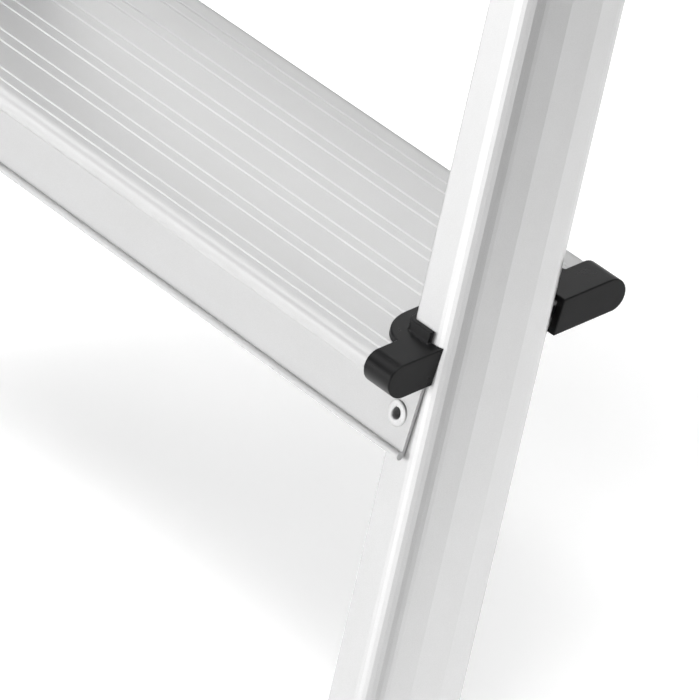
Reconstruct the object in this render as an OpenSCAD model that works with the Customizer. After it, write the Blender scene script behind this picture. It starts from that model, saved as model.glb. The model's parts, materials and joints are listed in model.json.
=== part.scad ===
// Folding aluminium step stool with a handrail hoop.
// Origin: centre of the footprint box, on the floor. +Z up, +Y towards the rear legs, +X to the user's right.

/* [Front frame] */
// Backward lean of the front frame from the vertical, degrees
lean = 20.56; // [20:0.02:21]
// Inboard splay of each stile within the plane of the front frame, degrees
splay = 5.82; // [5.7:0.02:5.9]
// Height of the lower tread's end-cap top above the floor
tread_z = 237.5; // [236:0.5:239]
// Vertical distance from one tread to the next
rise = 235; // [234:0.5:236]
// Half the width over the end caps of the lower tread
tread_half_w = 210; // [209:0.5:211]
// Distance from a tread's end to the inner front edge of the stile
stile_inset = 21.33; // [21:0.01:21.6]

/* [Stile section] */
// Width of the stile across the front
stile_w = 29.6; // [29.4:0.1:29.8]
// Depth of the stile at right angles to its front face
stile_d = 61.4; // [61:0.1:61.6]
// Wall of the stile
stile_wall = 1.6; // [1.4:0.1:1.8]
// Outer corner radius of the stile
stile_r = 11.5; // [11:0.1:12]
// Width of the flat strip down the outer side of the stile
stile_flat = 18.2; // [17:0.1:19]
// Angle of the two facets beside that strip, degrees
stile_facet = 8; // [7:0.1:9]

/* [Treads] */
// Front to back depth over the end caps
cap_depth = 133; // [132.5:0.1:133.5]
// Thickness of the end caps
cap_t = 16.76; // [16.6:0.02:16.9]
// Thickness of a tread's hollow slab
slab_t = 11.74; // [11.6:0.02:11.9]
// Pitch of the paired ribs
rib_pitch = 20.29; // [20:0.01:20.5]
// Drop of the apron bead below the top of the end cap
apron_drop = 49.6; // [49:0.1:50]

/* [Platform] */
// Height of the platform's standing surface
platform_z = 705; // [704.5:0.1:705.2]
// Thickness of the platform
platform_t = 22; // [21.8:0.1:22.2]
// Half the width of the platform at its pivot
platform_half_w = 129; // [128:0.5:129.5]

/* [Rear frame] */
// Backward rake of the open rear legs from the vertical, degrees
rake = 18; // [17.8:0.1:18.2]
// Height of the rear frame's hinge
hinge_z = 840; // [839.5:0.1:840.5]
// Width of a rear leg
leg_w = 22; // [21.8:0.1:22.2]
// Depth of a rear leg
leg_d = 25; // [24.5:0.1:25.2]
// Diameter of the cross tubes
tube_d = 22; // [21.8:0.1:22.2]

/* [Handrail] */
// Length of the straight rail tubes above the hinge heads
hoop_rise = 215; // [200:5:240]
// Diameter of the rail tube
hoop_d = 25; // [24.8:0.1:25]
// Bend radius of the elbows, to the tube's centre
hoop_r = 55; // [50:1:60]

/* [Hidden] */
m = tan(lean);                       // backward shift of the front frame per mm of height
kp = tan(splay);                     // inboard shift of a stile per mm along the frame's plane
kz = kp / cos(lean);                 // the same per mm of height
y0 = -273.25;                         // front face of the stiles at the lower tread's cap top
cap_r = cap_t / 2;                   // nose radius of the caps
slab_r = slab_t / 2;                 // nose radius of the slab
nose_f = -21.49;                     // front nose centre, behind the stile's front face
nose_b = nose_f + cap_depth - cap_t; // rear nose centre
mid = -cap_r;                        // middle height of slab and caps below the cap top
x_in = tread_half_w - stile_inset;   // inner front edge of the right stile at the lower tread
stile_dy = stile_d / cos(lean);      // horizontal depth of a stile
stile_top = 660;                     // stile length above the lower tread
head_top = 736;                      // top of the hinge heads along the stile
hinge_n = 115.7;                     // hinge axis behind the plane of the front faces
hinge_s = (hinge_z - tread_z + hinge_n * sin(lean)) / cos(lean);
hinge_y = y0 + hinge_n * cos(lean) + hinge_s * sin(lean);
leg_x = x_in - kp * hinge_s + stile_w / 2 / cos(splay);
pivot_y = y0 + 205;                  // platform pivot
pivot_z = 694;
deck_f = y0 + 165;                   // platform front and rear ends
deck_b = y0 + 428;
tube_z = 664;                        // height of the upper cross tube's axis
tube_s = (hinge_z - tube_z) / cos(rake);// upper cross tube below the hinge, along the leg
tube_y = hinge_y + tube_s * sin(rake);
hook_x = 70;                         // platform hooks from the middle
low_s = 760;                         // lower cross tube below the hinge
rivet_z = -34.2;
rivet_in = 12.7;
cheek_gap = 2.6;                     // between the leg and each cheek of its clevis
cheek_out = leg_w / 2 + cheek_gap + 4.5;
$fn = 48;

function arc(cx, cy, r, a, b, n = 7) = [for (i = [0:n]) [cx + r * cos(a + (b - a) * i / n), cy + r * sin(a + (b - a) * i / n)]];

// Stile section, inset by i: u runs outboard from the inner face, n runs back from the front face
function half_stile(i) = concat(
  arc(1.5, 1.5, 1.5 - min(i, 1.2), 180, 270, 4),
  arc(stile_w - stile_r - (stile_d - stile_flat) / 2 * tan(stile_facet) + 1.42, stile_r, stile_r - i, 270, 360 - stile_facet, 8),
  [[stile_w - i, (stile_d - stile_flat) / 2 + i * tan(stile_facet / 2)]]);
function stile_pts(i) = let (h = i <= 1.2 ? half_stile(i) : inset_half(i)) concat(h, [for (k = [len(h) - 1:-1:0]) [h[k][0], stile_d - h[k][1]]]);
function inset_half(i) = concat([[i, i]],
  arc(stile_w - stile_r - (stile_d - stile_flat) / 2 * tan(stile_facet) + 1.42, stile_r, stile_r - i, 270, 360 - stile_facet, 8),
  [[stile_w - i, (stile_d - stile_flat) / 2 + i * tan(stile_facet / 2)]]);

module side(s) { mirror([s < 0 ? 1 : 0, 0, 0]) children(); }
// Plane of the front faces: x, n back from the plane, s up the plane from the lower tread's cap top
module plane_frame() { translate([0, y0, tread_z]) rotate([-lean, 0, 0]) children(); }
// A stile's own frame, right-hand side
module stile_frame() { translate([x_in, y0, tread_z]) rotate([-lean, 0, 0]) rotate([0, -splay, 0]) children(); }
module stile_solid(i, a, b) { translate([0, 0, a]) linear_extrude(b - a) polygon(stile_pts(i)); }
// Moves a tread part from the lower to the given level
module level(l) { translate([0, l * rise * m, l * rise]) children(); }
function half_w(l) = tread_half_w - l * rise * kz;
module below(z) { translate([-500, -900, z - 200]) cube([1000, 1800, 200]); }

// Axis of the rivets at a tread's apron: f = -1 front, 1 rear
module rivet_at(l, f) {
  level(l) translate([half_w(l) - rivet_in, y0 + (f < 0 ? m * rivet_z - 2.1 : stile_dy + m * rivet_z + 2.1), tread_z + rivet_z])
    rotate([f < 0 ? 90 - lean : -90 - lean, 0, 0]) children();
}

module stile() {
  difference() {
    stile_frame() difference() {
      stile_solid(0, -290, stile_top);
      stile_solid(stile_wall, -300, stile_top + 10);
    }
    below(5);
    for (l = [0, 1], f = [-1, 1]) rivet_at(l, f) translate([0, 0, -8]) cylinder(r = 3.1, h = 12);
    translate([120, pivot_y, pivot_z]) rotate([0, 90, 0]) cylinder(r = 5, h = 30);
  }
}
module stile_left() { color("silver") side(-1) stile(); }
module stile_right() { color("silver") stile(); }

// Outer side profile of a tread in Y and Z, from the cap top
module slab2d(r) {
  translate([nose_f, mid - r]) square([nose_b - nose_f, 2 * r]);
  translate([nose_f, mid]) circle(r = r, $fn = 48);
  translate([nose_b, mid]) circle(r = r, $fn = 48);
}
module apron2d() {
  t = 1.8;
  polygon([[m * -10 - 2.1, -10], [m * -10 - 2.1 + t, -10], [-m * apron_drop - 2.1 + t, -apron_drop], [-m * apron_drop - 2.1, -apron_drop]]);
  translate([-m * apron_drop - 2.1 - 0.5, -apron_drop]) circle(r = 1.9, $fn = 32);
}
module aprons2d() {
  apron2d();
  translate([stile_dy, 0]) polygon([[m * -10 + 2.1 - 1.8, -10], [m * -10 + 2.1, -10], [-m * apron_drop + 2.1, -apron_drop], [-m * apron_drop + 0.3, -apron_drop]]);
  translate([stile_dy - m * apron_drop + 2.6, -apron_drop]) circle(r = 1.9, $fn = 32);
}
module ribs2d() {
  for (i = [0:5], s = [-1, 1]) translate([86.03 - i * rib_pitch + s * 3.03, mid + slab_r - 0.35]) circle(r = 0.8, $fn = 20);
}
module along_x(a, b) { translate([a, y0, tread_z]) rotate([90, 0, 90]) linear_extrude(b - a) children(); }

module tread(l) {
  w = half_w(l) - 2.6;
  color("silver") difference() {
    level(l) along_x(-w, w) {
      difference() {
        slab2d(slab_r);
        for (c = [[-20.5, 3.4], [6.4, 26.6], [29.6, 50.4], [53.4, 73.6], [76.6, 93.8]])
          translate([c[0], mid - slab_r + 1.7]) square([c[1] - c[0], slab_t - 3.4]);
      }
      ribs2d();
      aprons2d();
    }
    // notches round the two stiles
    for (s = [-1, 1]) side(s) level(l) intersection() {
      translate([half_w(l) - 24.2, y0 - 60, tread_z - cap_t - 2]) cube([40, 200, cap_t + 6]);
      plane_frame() translate([0, -0.3, -100]) cube([300, stile_d + 0.6, 200]);
    }
    for (s = [-1, 1], f = [-1, 1]) side(s) rivet_at(l, f) translate([0, 0, -8]) cylinder(r = 3.1, h = 12);
  }
}
module tread_lower() { tread(0); }
module tread_upper() { tread(1); }

// Plan outline of an end cap at its top plane: x outboard from the tread's end, y from the stile's front face
cap_plan = concat([[0, -45], [-18.2, -45]],
  arc(-16.6, 6.6, 17.8, -95.2, -180, 12),
  arc(-16.6, 66.66, 17.8, -180, -264.8, 12),
  [[-18.2, 130], [1.87, 130], [1.87, 67.87], [-19, 67.87], [-19, 3], [0, 3]]);
module cap(l) {
  hw = half_w(l);
  color([0.13, 0.13, 0.13]) difference() {
    union() {
      intersection() {
        level(l) along_x(hw - 60, hw + 10) slab2d(cap_r);
        level(l) plane_frame() translate([hw, 0, -80]) linear_extrude(160)
          polygon([for (p = cap_plan) [p[0], p[1] * cos(lean)]]);
      }
      // collar that hugs the front and inner faces of the stile
      intersection() {
        stile_frame() stile_solid(-2.3, l * 250 - 60, l * 250 + 60);
        translate([hw - 60, y0 + l * rise * m - 10, tread_z + l * rise - 1]) cube([60 - 7.4, stile_dy + 24, 5.8]);
      }
    }
    stile_frame() stile_solid(0, l * 250 - 80, l * 250 + 80);
    level(l) along_x(hw - 70, hw - 2.6) { slab2d(slab_r); aprons2d(); ribs2d(); }
  }
}
module tread_cap_lower_left() { side(-1) cap(0); }
module tread_cap_lower_right() { cap(0); }
module tread_cap_upper_left() { side(-1) cap(1); }
module tread_cap_upper_right() { cap(1); }

// Hollow flared rivet: head on the apron, shank through apron and stile wall
module hollow_rivet() {
  rotate_extrude($fn = 48) polygon([[2.6, -5.4], [3.1, -5.4], [3.1, 0], [6.2, 0], [6.15, 0.35],
    [5.8, 0.7], [5.1, 0.95], [4.2, 1.1], [3.5, 1.05], [3.0, 0.85], [2.7, 0.45], [2.6, 0]]);
}
module tread_rivets_front() { color("silver") for (l = [0, 1], s = [-1, 1]) side(s) rivet_at(l, -1) hollow_rivet(); }
module tread_rivets_rear() { color("silver") for (l = [0, 1], s = [-1, 1]) side(s) rivet_at(l, 1) hollow_rivet(); }

module front_foot() {
  color([0.13, 0.13, 0.13]) difference() {
    stile_frame() union() {
      stile_solid(-2.6, -300, -206);
      stile_solid(-3.6, -300, -236);
    }
    below(0);
    difference() {
      stile_frame() stile_solid(0, -330, -100);
      below(5);
    }
  }
}
module front_foot_left() { side(-1) front_foot(); }
module front_foot_right() { front_foot(); }

// Hinge head: caps the stile, holds the hoop and carries the clevis of the rear leg
module hinge_head() {
  color([0.13, 0.13, 0.13]) difference() {
    union() {
      stile_frame() {
        stile_solid(-1.6, stile_top, head_top);
        stile_solid(stile_wall + 0.05, stile_top - 34, stile_top + 1);
      }
      plane_frame() for (c = [-1, 1]) translate([leg_x + c * (cheek_out - 2.25) - 2.25, 0, hinge_s])
        rotate([90, 0, 90]) linear_extrude(4.5) {
          translate([hinge_n, 0]) circle(r = 17, $fn = 64);
          polygon([[56, -25], [hinge_n - 3, -16.7], [hinge_n - 3, 16.7], [56, 38]]);
        }
    }
    plane_frame() translate([leg_x - 30, hinge_n, hinge_s]) rotate([0, 90, 0]) cylinder(r = 4, h = 60);
    stile_frame() translate([stile_w / 2, stile_d / 2, head_top - 48]) cylinder(d = hoop_d + 0.1, h = 60);
    stile_frame() translate([stile_w / 2, -10, head_top - 24]) rotate([-90, 0, 0]) cylinder(r = 2.5, h = 30);
  }
}
module hinge_head_left() { side(-1) hinge_head(); }
module hinge_head_right() { hinge_head(); }

module hinge_axis() { plane_frame() translate([leg_x, hinge_n, hinge_s]) rotate([0, 90, 0]) children(); }
module hinge_pin() {
  h = cheek_out;
  hinge_axis() rotate_extrude($fn = 48) polygon([[0, -h - 3], [5.2, -h - 3], [7, -h - 1.6], [7, -h - 1], [4, -h - 1],
    [4, h + 1], [7, h + 1], [7, h + 1.6], [5.2, h + 3], [0, h + 3]]);
}
module hinge_pins() { color("silver") for (s = [-1, 1]) side(s) hinge_pin(); }
module hinge_pin_washers() {
  color("silver") for (s = [-1, 1]) side(s) hinge_axis() for (c = [-1, 1])
    translate([0, 0, c * (cheek_out + 0.5) - 0.5]) difference() { cylinder(r = 9.5, h = 1); translate([0, 0, -1]) cylinder(r = 4, h = 3); }
}

// Handrail: two straight tubes that follow the stiles, two moulded elbows and a straight grip bar
module rail_axis() { stile_frame() translate([stile_w / 2, stile_d / 2, 0]) children(); }
hoop_top_s = head_top + hoop_rise;
bend_x = x_in + cos(splay) * stile_w / 2 - sin(splay) * hoop_top_s - hoop_r * cos(splay);
bend_s = sin(splay) * stile_w / 2 + cos(splay) * hoop_top_s - hoop_r * sin(splay);
module tube_ring() { difference() { circle(d = hoop_d, $fn = 64); circle(d = hoop_d - 3.2, $fn = 64); } }
module handrail_leg() {
  color("silver") difference() {
    rail_axis() translate([0, 0, head_top - 46]) linear_extrude(hoop_top_s - head_top + 46) tube_ring();
    rail_axis() translate([0, -40, head_top - 24]) rotate([-90, 0, 0]) cylinder(r = 2.5, h = 40);
  }
}
module handrail_leg_left() { side(-1) handrail_leg(); }
module handrail_leg_right() { handrail_leg(); }
module handrail_elbow() {
  color([0.13, 0.13, 0.13]) {
    plane_frame() translate([bend_x, stile_d / 2, bend_s]) rotate([90, 0, 0]) rotate([0, 0, splay])
      rotate_extrude(angle = 90 - splay, $fn = 96) translate([hoop_r, 0]) circle(d = hoop_d + 2.4, $fn = 48);
    rail_axis() translate([0, 0, hoop_top_s - 24]) cylinder(d = hoop_d - 3.3, h = 25);
    plane_frame() translate([bend_x - 20, stile_d / 2, bend_s + hoop_r]) rotate([0, 90, 0]) cylinder(d = hoop_d - 3.3, h = 21);
  }
}
module handrail_elbow_left() { side(-1) handrail_elbow(); }
module handrail_elbow_right() { handrail_elbow(); }
module handrail_bar() {
  color("silver") plane_frame() translate([-bend_x, stile_d / 2, bend_s + hoop_r]) rotate([90, 0, 90]) linear_extrude(2 * bend_x) tube_ring();
}
module handrail_grip() {
  color([0.1, 0.1, 0.1]) plane_frame() translate([-bend_x, stile_d / 2, bend_s + hoop_r]) rotate([0, 90, 0]) difference() {
    union() {
      cylinder(d = hoop_d + 7, h = 2 * bend_x);
      for (z = [5:10:2 * bend_x - 5]) translate([0, 0, z]) cylinder(d = hoop_d + 9, h = 4);
    }
    translate([0, 0, -1]) cylinder(d = hoop_d, h = 2 * bend_x + 2);
  }
}
module handrail_screws() {
  color("silver") for (s = [-1, 1]) side(s) stile_frame() translate([stile_w / 2, -1.6, head_top - 24]) rotate([90, 0, 0])
    rotate_extrude($fn = 48) polygon([[0, -20], [2.5, -20], [2.5, 0], [4.8, 0], [4.6, 1.2], [3.2, 2.4], [1.6, 2.5], [1.6, 1], [0, 1]]);
}

// Inner face of the right stile as a cutting block: everything outboard of that face
module outboard_of_stile() { stile_frame() translate([0, -60, -400]) cube([300, 200, 1200]); }
module pivot_axis() { translate([0, pivot_y, pivot_z]) rotate([0, 90, 0]) children(); }
module platform_pivot_pins() {
  color("silver") for (s = [-1, 1]) side(s) pivot_axis() {
    translate([0, 0, 113]) cylinder(r = 5, h = 34);
    translate([0, 0, 143]) cylinder(r = 8.5, h = 4);
  }
}
module platform_spacers() {
  color([0.13, 0.13, 0.13]) for (s = [-1, 1]) side(s) difference() {
    pivot_axis() translate([0, 0, 131.2]) cylinder(r = 10, h = 14);
    pivot_axis() translate([0, 0, 120]) cylinder(r = 5, h = 40);
    outboard_of_stile();
  }
}

// Rear frame in its own frame: hinge axis at the origin, legs along -Z
module rear_frame() { translate([0, hinge_y, hinge_z]) rotate([rake, 0, 0]) children(); }
function rrect(w, d, r) = concat(arc(w / 2 - r, d / 2 - r, r, 0, 90, 5), arc(-w / 2 + r, d / 2 - r, r, 90, 180, 5),
  arc(-w / 2 + r, -d / 2 + r, r, 180, 270, 5), arc(w / 2 - r, -d / 2 + r, r, 270, 360, 5));
module leg_axis() { rear_frame() translate([leg_x, 0, 0]) rotate([0, -splay, 0]) children(); }
module leg_solid(g, a, b) { leg_axis() translate([0, 0, a]) linear_extrude(b - a) polygon(rrect(leg_w + 2 * g, leg_d + 2 * g, 6 + g)); }
module rear_leg() {
  color("silver") difference() {
    leg_solid(0, -930, 14);
    leg_solid(-1.5, -940, 20);
    below(5);
    rear_frame() translate([leg_x - 30, 0, 0]) rotate([0, 90, 0]) cylinder(r = 6.5, h = 60);
    for (z = [tube_s, low_s]) rear_frame() translate([leg_x + kp * z + leg_w / 2 / cos(splay), 0, -z]) rotate([0, 90 - splay, 0])
      translate([0, 0, -7]) cylinder(r = 3.1, h = 12);
  }
}
module rear_leg_left() { side(-1) rear_leg(); }
module rear_leg_right() { rear_leg(); }
// Space between the inner faces of the two rear legs
module between_legs() {
  a = leg_x - leg_w / 2 / cos(splay);
  rear_frame() translate([0, 60, 0]) rotate([90, 0, 0]) linear_extrude(120)
    polygon([[-a, 0], [a, 0], [a + kp * 880, -880], [-a - kp * 880, -880]]);
}
module cross_tube(z) {
  color("silver") intersection() {
    rear_frame() translate([-300, 0, -z]) rotate([0, 90, 0]) difference() {
      cylinder(d = tube_d, h = 600);
      translate([0, 0, -1]) cylinder(d = tube_d - 3, h = 602);
    }
    between_legs();
  }
}
module rear_tube_upper() { cross_tube(tube_s); }
module rear_tube_lower() { cross_tube(low_s); }
module tube_collars() {
  color([0.13, 0.13, 0.13]) intersection() {
    union() for (z = [tube_s, low_s], s = [-1, 1]) side(s) rear_frame()
      translate([leg_x + kp * z - leg_w / 2 - 9, 0, -z]) rotate([0, 90, 0]) difference() {
        cylinder(d = tube_d + 6, h = 14);
        translate([0, 0, -1]) cylinder(d = tube_d, h = 16);
      }
    between_legs();
  }
}
module rear_rivets() {
  color("silver") for (z = [tube_s, low_s], s = [-1, 1]) side(s) rear_frame()
    translate([leg_x + kp * z + leg_w / 2 / cos(splay), 0, -z]) rotate([0, 90 - splay, 0])
      rotate_extrude($fn = 40) polygon([[2.4, -6], [3.1, -6], [3.1, 0], [6, 0], [5.8, 0.7], [4.9, 1.6], [3.6, 2], [2.4, 1.4]]);
}
module leg_hinge_bushes() {
  color([0.13, 0.13, 0.13]) for (s = [-1, 1]) side(s) rear_frame() translate([leg_x - leg_w / 2 - cheek_gap + 0.3, 0, 0]) rotate([0, 90, 0])
    difference() {
      cylinder(r = 6.5, h = leg_w + 2 * cheek_gap - 0.6);
      translate([0, 0, -1]) cylinder(r = 4.05, h = leg_w + 10);
    }
}
module rear_foot() {
  color([0.13, 0.13, 0.13]) difference() {
    union() {
      leg_solid(2.6, -930, -842);
      leg_solid(3.6, -930, -866);
    }
    below(0);
    difference() { leg_solid(0, -950, -800); below(5); }
  }
}
module rear_foot_left() { side(-1) rear_foot(); }
module rear_foot_right() { rear_foot(); }

// Platform: side profile in Y and Z, plan cut parallel to the folded stiles
module deck2d(g) {
  z = platform_z - platform_t / 2;
  r = platform_t / 2 + g;
  translate([deck_f + platform_t / 2, z - r]) square([deck_b - deck_f - platform_t, 2 * r]);
  translate([deck_f + platform_t / 2, z]) circle(r = r, $fn = 64);
  translate([deck_b - platform_t / 2, z]) circle(r = r, $fn = 64);
}
module deck_ribs2d() {
  for (i = [0:11], s = [-1, 1]) translate([deck_f + 19.5 + i * rib_pitch + s * 3.03, platform_z - 0.35]) circle(r = 0.8, $fn = 20);
}
function deck_edge(y) = platform_half_w - (y - pivot_y) * kp;
module deck_plan(a, b) {
  translate([0, 0, 600]) linear_extrude(200)
    polygon([[deck_edge(deck_f - 20) - a, deck_f - 20], [deck_edge(deck_f - 20) - b, deck_f - 20],
      [deck_edge(deck_b + 20) - b, deck_b + 20], [deck_edge(deck_b + 20) - a, deck_b + 20]]);
}
module x_extrude(a, b) { translate([a, 0, 0]) rotate([90, 0, 90]) linear_extrude(b - a) children(); }
module platform_deck() {
  z = platform_z - platform_t;
  color("silver") difference() {
    intersection() {
      x_extrude(-170, 170) {
        difference() {
          deck2d(0);
          for (i = [0:7]) translate([deck_f + 12 + i * 30.1, z + 1.8]) square([28, platform_t - 3.6]);
        }
        deck_ribs2d();
      }
      translate([0, 0, 600]) linear_extrude(200) polygon([[deck_edge(deck_f - 1) - 2.65, deck_f - 1], [deck_edge(deck_b + 1) - 2.65, deck_b + 1],
        [-deck_edge(deck_b + 1) + 2.65, deck_b + 1], [-deck_edge(deck_f - 1) + 2.65, deck_f - 1]]);
    }
    for (s = [-1, 1]) side(s) pivot_axis() translate([0, 0, 104]) cylinder(r = 9.5, h = 60);
    for (s = [-1, 1]) side(s) translate([hook_x, tube_y, 670]) cylinder(r = 2.1, h = 20);
  }
}
module platform_cap() {
  color([0.13, 0.13, 0.13]) difference() {
    union() {
      difference() {
        intersection() { x_extrude(60, 170) deck2d(1.8); deck_plan(18, 0); }
        intersection() { x_extrude(60, 170) deck2d(0); deck_plan(40, 2.6); }
      }
      pivot_axis() translate([0, 0, 106]) cylinder(r = 9.5, h = 21);
    }
    intersection() { x_extrude(60, 170) deck_ribs2d(); deck_plan(40, 2.6); }
    pivot_axis() translate([0, 0, 100]) cylinder(r = 5.05, h = 60);
  }
}
module platform_cap_left() { side(-1) platform_cap(); }
module platform_cap_right() { platform_cap(); }
// Hook under the deck: rests on the cross tube and reaches down behind it
module platform_hook() {
  zb = platform_z - platform_t;
  color([0.13, 0.13, 0.13]) difference() {
    x_extrude(hook_x - 14, hook_x + 14) difference() {
      union() {
        translate([tube_y - 13, zb - 9]) square([31, 9]);
        translate([tube_y + 3, tube_z - 13]) square([15, zb - tube_z + 12]);
        translate([tube_y + 10.5, tube_z - 13]) circle(r = 7.5, $fn = 40);
      }
      translate([tube_y, tube_z]) circle(r = tube_d / 2 + 0.35, $fn = 64);
      translate([tube_y - 20, tube_z - 30]) square([20 + tube_d / 2 + 0.35, 30]);
    }
    translate([hook_x, tube_y, zb - 20]) cylinder(r = 2.1, h = 30);
  }
}
module platform_hook_left() { side(-1) platform_hook(); }
module platform_hook_right() { platform_hook(); }
module hook_rivets() {
  color("silver") for (s = [-1, 1]) side(s) translate([hook_x, tube_y, platform_z - platform_t - 4])
    rotate_extrude($fn = 32) polygon([[0, 0.2], [2.1, 0.2], [2.1, 6], [4, 6], [3.4, 8], [0, 8.4]]);
}

stile_left();
stile_right();
tread_lower();
tread_upper();
tread_cap_lower_left();
tread_cap_lower_right();
tread_cap_upper_left();
tread_cap_upper_right();
tread_rivets_front();
tread_rivets_rear();
front_foot_left();
front_foot_right();
hinge_head_left();
hinge_head_right();
hinge_pins();
hinge_pin_washers();
handrail_leg_left();
handrail_leg_right();
handrail_elbow_left();
handrail_elbow_right();
handrail_bar();
handrail_grip();
handrail_screws();
platform_pivot_pins();
platform_spacers();
rear_leg_left();
rear_leg_right();
rear_tube_upper();
rear_tube_lower();
tube_collars();
rear_rivets();
leg_hinge_bushes();
rear_foot_left();
rear_foot_right();
platform_deck();
platform_cap_left();
platform_cap_right();
platform_hook_left();
platform_hook_right();
hook_rivets();
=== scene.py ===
import bpy, bmesh, math, json
from mathutils import Vector, Matrix

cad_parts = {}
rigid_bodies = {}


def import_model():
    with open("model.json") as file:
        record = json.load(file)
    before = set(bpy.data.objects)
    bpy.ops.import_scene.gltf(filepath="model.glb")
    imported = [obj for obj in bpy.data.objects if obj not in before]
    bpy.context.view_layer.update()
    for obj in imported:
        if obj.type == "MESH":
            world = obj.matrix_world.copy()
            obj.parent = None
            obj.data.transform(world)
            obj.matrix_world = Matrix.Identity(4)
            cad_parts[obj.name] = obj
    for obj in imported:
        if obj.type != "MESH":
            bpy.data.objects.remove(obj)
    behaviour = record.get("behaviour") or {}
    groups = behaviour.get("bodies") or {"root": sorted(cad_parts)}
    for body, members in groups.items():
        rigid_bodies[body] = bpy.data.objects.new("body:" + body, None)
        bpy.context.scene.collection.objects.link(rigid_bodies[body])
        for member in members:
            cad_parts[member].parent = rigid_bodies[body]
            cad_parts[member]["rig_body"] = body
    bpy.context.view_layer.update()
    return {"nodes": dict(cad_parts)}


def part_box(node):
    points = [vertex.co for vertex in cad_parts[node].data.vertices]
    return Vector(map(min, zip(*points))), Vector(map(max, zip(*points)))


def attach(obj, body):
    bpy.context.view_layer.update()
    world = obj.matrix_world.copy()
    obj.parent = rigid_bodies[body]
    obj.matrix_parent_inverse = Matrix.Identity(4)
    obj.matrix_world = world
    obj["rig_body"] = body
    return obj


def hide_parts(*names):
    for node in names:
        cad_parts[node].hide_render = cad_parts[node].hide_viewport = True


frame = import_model()
nodes = frame["nodes"]
scene = bpy.context.scene
MM = 0.001

# ---------------------------------------------------------------- camera
O = Vector((210.0, -273.25, 237.5)) * MM
az, el = math.radians(52.45), math.radians(33.30)
cr = Vector((math.cos(az), math.sin(az), 0))
cb = Vector((math.sin(az) * math.cos(el), -math.cos(az) * math.cos(el), math.sin(el)))
cu = cb.cross(cr)
loc = O + cr * (-40.58 * MM) + cu * (-0.242 * MM) + cb * (3339.1 * MM)
cam_data = bpy.data.cameras.new("camera")
cam_data.sensor_width = 36.0
cam_data.sensor_fit = 'HORIZONTAL'
cam_data.lens = 7587.3 * 36.0 / 700.0
cam_data.clip_start = 0.05
cam_data.clip_end = 60
cam_data.dof.use_dof = False
cam = bpy.data.objects.new("camera", cam_data)
scene.collection.objects.link(cam)
rot = Matrix((cr, cu, cb)).transposed()
cam.matrix_world = Matrix.Translation(loc) @ rot.to_4x4()
scene.camera = cam

# ---------------------------------------------------------------- materials
def new_mat(name):
    m = bpy.data.materials.new(name)
    m.use_nodes = True
    nt = m.node_tree
    b = nt.nodes["Principled BSDF"]
    return m, nt, b

def link(nt, a, ao, b, bi):
    nt.links.new(a.outputs[ao], b.inputs[bi])

def coords(nt, scale, rot=(0, 0, 0)):
    tc = nt.nodes.new("ShaderNodeTexCoord")
    mp = nt.nodes.new("ShaderNodeMapping")
    mp.inputs["Scale"].default_value = scale
    mp.inputs["Rotation"].default_value = rot
    link(nt, tc, "Object", mp, "Vector")
    return mp

def noise(nt, vec, scale, detail=3.0, rough=0.5):
    n = nt.nodes.new("ShaderNodeTexNoise")
    n.inputs["Scale"].default_value = scale
    n.inputs["Detail"].default_value = detail
    n.inputs["Roughness"].default_value = rough
    link(nt, vec, "Vector", n, "Vector")
    return n

def ramp(nt, src, out, lo, hi, p0=0.3, p1=0.7):
    r = nt.nodes.new("ShaderNodeValToRGB")
    r.color_ramp.elements[0].position = p0
    r.color_ramp.elements[1].position = p1
    r.color_ramp.elements[0].color = (*lo, 1) if len(lo) == 3 else (lo[0],) * 3 + (1,)
    r.color_ramp.elements[1].color = (*hi, 1) if len(hi) == 3 else (hi[0],) * 3 + (1,)
    link(nt, src, out, r, "Fac")
    return r

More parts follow.
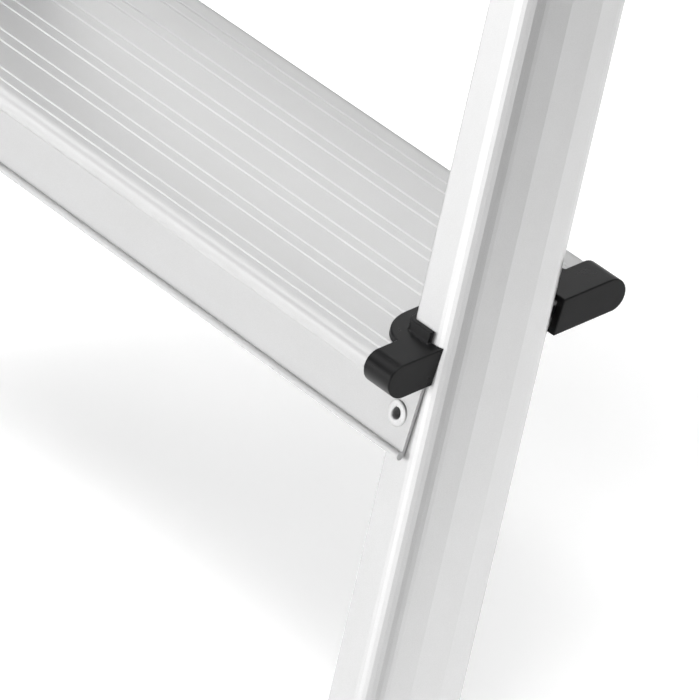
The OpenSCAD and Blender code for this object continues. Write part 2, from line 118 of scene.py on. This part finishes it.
def aluminium(name, grain_rot=(0, 0, 0), stretch=(1, 1, 1), base=0.60, rough=(0.30, 0.39), metallic=0.85, crest=None):
    """Satin mill-finish extrusion: fine grain, faint draw lines along the profile, slight mottling."""
    m, nt, b = new_mat(name)
    b.inputs["Metallic"].default_value = metallic
    v1 = coords(nt, (1, 1, 1))
    vs = coords(nt, stretch, grain_rot)
    mott = noise(nt, v1, 60, 4, 0.55)
    grain = noise(nt, v1, 2600, 2, 0.6)
    lines = noise(nt, vs, 1400, 2, 0.5)
    col = ramp(nt, mott, "Fac", (base * 0.99,) * 3, (base * 1.008, base * 1.008, base * 1.011), 0.3, 0.7)
    spk = ramp(nt, grain, "Fac", (0.955, 0.955, 0.955), (1.03, 1.03, 1.03), 0.35, 0.65)
    mix = nt.nodes.new("ShaderNodeMix"); mix.data_type = 'RGBA'; mix.blend_type = 'MULTIPLY'
    mix.inputs["Factor"].default_value = 1.0
    link(nt, col, "Color", mix, "A"); link(nt, spk, "Color", mix, "B")
    tint = mix
    if crest:
        # painted highlight: the rib crests are coloured brighter, from the lower to the upper z of the band, in the
        # part's own frame
        tc = nt.nodes.new("ShaderNodeTexCoord")
        xyz = nt.nodes.new("ShaderNodeSeparateXYZ"); link(nt, tc, "Object", xyz, "Vector")
        mr = nt.nodes.new("ShaderNodeMapRange")
        mr.inputs["From Min"].default_value = crest[0]; mr.inputs["From Max"].default_value = crest[1]
        link(nt, xyz, "Z", mr, "Value")
        tint = nt.nodes.new("ShaderNodeMix"); tint.data_type = 'RGBA'; tint.blend_type = 'MIX'
        link(nt, mr, "Result", tint, "Factor")
        nt.links.new(mix.outputs[2], tint.inputs["A"])
        # colour of the painted highlight, 14 % brighter than the base
        tint.inputs["B"].default_value = (base * 1.14, base * 1.14, base * 1.144, 1)
    nt.links.new(tint.outputs[2], b.inputs["Base Color"])
    rr = ramp(nt, grain, "Fac", (rough[0],), (rough[1],), 0.3, 0.7)
    link(nt, rr, "Color", b, "Roughness")
    b1 = nt.nodes.new("ShaderNodeBump"); b1.inputs["Strength"].default_value = 0.10; b1.inputs["Distance"].default_value = 0.00008
    link(nt, lines, "Fac", b1, "Height")
    b2 = nt.nodes.new("ShaderNodeBump"); b2.inputs["Strength"].default_value = 0.14; b2.inputs["Distance"].default_value = 0.00008
    link(nt, grain, "Fac", b2, "Height"); link(nt, b1, "Normal", b2, "Normal")
    link(nt, b2, "Normal", b, "Normal")
    return m

def plastic(name, base=(0.007, 0.007, 0.0074), rough=(0.27, 0.34), grain=1500, bump=0.22, spec=0.17):
    """Moulded black plastic with a fine spark-eroded grain."""
    m, nt, b = new_mat(name)
    v1 = coords(nt, (1, 1, 1))
    g = noise(nt, v1, grain, 3, 0.6)
    big = noise(nt, v1, 90, 3, 0.5)
    col = ramp(nt, big, "Fac", tuple(c * 0.85 for c in base), tuple(c * 1.2 for c in base))
    link(nt, col, "Color", b, "Base Color")
    rr = ramp(nt, big, "Fac", (rough[0],), (rough[1],))
    link(nt, rr, "Color", b, "Roughness")
    b.inputs["Specular IOR Level"].default_value = spec
    bp = nt.nodes.new("ShaderNodeBump"); bp.inputs["Strength"].default_value = bump; bp.inputs["Distance"].default_value = 0.00006
    link(nt, g, "Fac", bp, "Height"); link(nt, bp, "Normal", b, "Normal")
    return m

def steel(name, base=0.66, rough=(0.34, 0.44)):
    m, nt, b = new_mat(name)
    b.inputs["Metallic"].default_value = 0.7
    v1 = coords(nt, (1, 1, 1))
    g = noise(nt, v1, 900, 3, 0.6)
    col = ramp(nt, g, "Fac", (base * 0.94,) * 3, (base * 1.03,) * 3)
    link(nt, col, "Color", b, "Base Color")
    rr = ramp(nt, g, "Fac", (rough[0],), (rough[1],))
    link(nt, rr, "Color", b, "Roughness")
    bp = nt.nodes.new("ShaderNodeBump"); bp.inputs["Strength"].default_value = 0.12; bp.inputs["Distance"].default_value = 0.00005
    link(nt, g, "Fac", bp, "Height"); link(nt, bp, "Normal", b, "Normal")
    return m

LEAN = math.radians(20.56); RAKE = math.radians(18); SPLAY = math.radians(5.82)
def tread_metal(n):
    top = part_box(n)[1].z
    # painted highlight band along the rib crests, from 0.45 mm to 0.20 mm below the tread's top
    return aluminium("aluminium_" + n, stretch=(0.02, 1, 1), base=0.60, rough=(0.42, 0.50), metallic=0.62,
                     crest=(top - 0.00045, top - 0.00020))
M_TREAD = {n: tread_metal(n) for n in ("tread_lower", "tread_upper", "platform_deck")}
M_STILE = aluminium("aluminium_stile", grain_rot=(LEAN, 0, 0), stretch=(1, 1, 0.02))
M_LEG = aluminium("aluminium_leg", grain_rot=(-RAKE, 0, 0), stretch=(1, 1, 0.02))
M_TUBE = aluminium("aluminium_tube", stretch=(0.02, 1, 1), base=0.60)
M_CAP = plastic("black_moulding")
M_FOOT = plastic("foot_rubber", base=(0.018, 0.018, 0.018), rough=(0.6, 0.72), grain=900, bump=0.4, spec=0.35)
M_GRIP = plastic("grip_rubber", base=(0.016, 0.016, 0.017), rough=(0.62, 0.75), grain=1200, bump=0.5, spec=0.35)
M_STEEL = steel("zinc_steel")

def mat_for(n):
    if n.startswith("stile"): return M_STILE
    if n.startswith("rear_leg"): return M_LEG
    if n in M_TREAD: return M_TREAD[n]
    if n.startswith("handrail_leg"): return M_STILE
    if n.startswith("rear_tube") or n == "handrail_bar": return M_TUBE
    if "foot" in n: return M_FOOT
    if n == "handrail_grip": return M_GRIP
    if "rivet" in n or "pin" in n.replace("spacers", "") and "hinge_head" not in n or "screw" in n or "washer" in n: return M_STEEL
    return M_CAP

for n, o in nodes.items():
    o.data.materials.clear()
    o.data.materials.append(M_CAP if n in ("platform_spacers", "leg_hinge_bushes") else mat_for(n))

# moulded pieces: each stands for its CAD node with the same form, but with the rounded outer edges and the small
# fillets in the inner corners that a moulding has. A fine voxel skin is relaxed a little, which makes both.
VOXEL = {"tread_cap": (0.00036, 2), "hinge_head": (0.0011, 6), "platform_cap": (0.0007, 5), "platform_hook": (0.0007, 6),
         "front_foot": (0.0008, 6), "rear_foot": (0.0008, 6)}
def moulding(n, vox, it):
    src = nodes[n]
    o = bpy.data.objects.new(n + "_moulding", src.data.copy())
    scene.collection.objects.link(o)
    rm = o.modifiers.new("skin", 'REMESH'); rm.mode = 'VOXEL'; rm.voxel_size = vox; rm.adaptivity = 0.0; rm.use_smooth_shade = True
    sm = o.modifiers.new("relax", 'SMOOTH'); sm.factor = 0.5; sm.iterations = it
    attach(o, src["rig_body"])
    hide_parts(n)
    return o
for n in sorted(nodes):
    for k, (v, it) in VOXEL.items():
        if n.startswith(k):
            moulding(n, v, it)
            break

# ---------------------------------------------------------------- floor and light
fm, nt, b = new_mat("floor_white")
b.inputs["Roughness"].default_value = 0.9
fv = coords(nt, (1, 1, 1)); fn = noise(nt, fv, 3, 2, 0.5)
fc = ramp(nt, fn, "Fac", (0.90, 0.90, 0.90), (0.92, 0.92, 0.92)); link(nt, fc, "Color", b, "Base Color")
b.inputs["Emission Color"].default_value = (1, 1, 1, 1)
b.inputs["Emission Strength"].default_value = 0.37
bm = bmesh.new(); bmesh.ops.create_grid(bm, x_segments=1, y_segments=1, size=12.0)
me = bpy.data.meshes.new("floor"); bm.to_mesh(me); bm.free()
floor = bpy.data.objects.new("floor", me); scene.collection.objects.link(floor)
me.materials.append(fm)
floor.location = (0, 0, -0.0003)

world = bpy.data.worlds.new("world"); scene.world = world
world.use_nodes = True
bg = world.node_tree.nodes["Background"]
bg.inputs["Color"].default_value = (1, 1, 1, 1)
bg.inputs["Strength"].default_value = 0.21

def area(name, loc, target, size, power, size_y=None, color=(1, 1, 1), spread=180):
    d = bpy.data.lights.new(name, 'AREA'); d.energy = power; d.color = color
    d.shape = 'RECTANGLE' if size_y else 'SQUARE'; d.size = size
    if size_y: d.size_y = size_y
    d.spread = math.radians(spread)
    o = bpy.data.objects.new(name, d); scene.collection.objects.link(o)
    o.location = loc
    o.rotation_euler = (Vector(target) - Vector(loc)).to_track_quat('-Z', 'Y').to_euler()
    return o
area("key", (-0.5, -3.0, 0.7), (0.15, -0.2, 0.25), 2.6, 21.5, 1.2)
area("left", (-2.4, -2.1, 0.9), (0.1, -0.2, 0.25), 1.8, 14.6, 1.3)
area("front", (1.6, -2.25, 0.55), (0.15, -0.2, 0.3), 2.3, 6.4, 0.9)
area("high", (-2.3, -0.9, 2.5), (0.0, -0.2, 0.25), 1.5, 13)
area("top", (0.0, -0.3, 2.6), (-0.2, 0.05, 0.0), 1.6, 9.6, spread=56)
area("sky", (-2.6, 2.1, 2.4), (0.0, -0.2, 0.25), 4.6, 11.8, 3.4, spread=76)
area("back", (1.0, 0.95, 1.0), (0.75, 0.35, 0.0), 0.7, 1.6)

scene.view_settings.view_transform = 'Standard'
scene.view_settings.look = 'None'
scene.view_settings.exposure = 0.0
scene.view_settings.gamma = 1.0
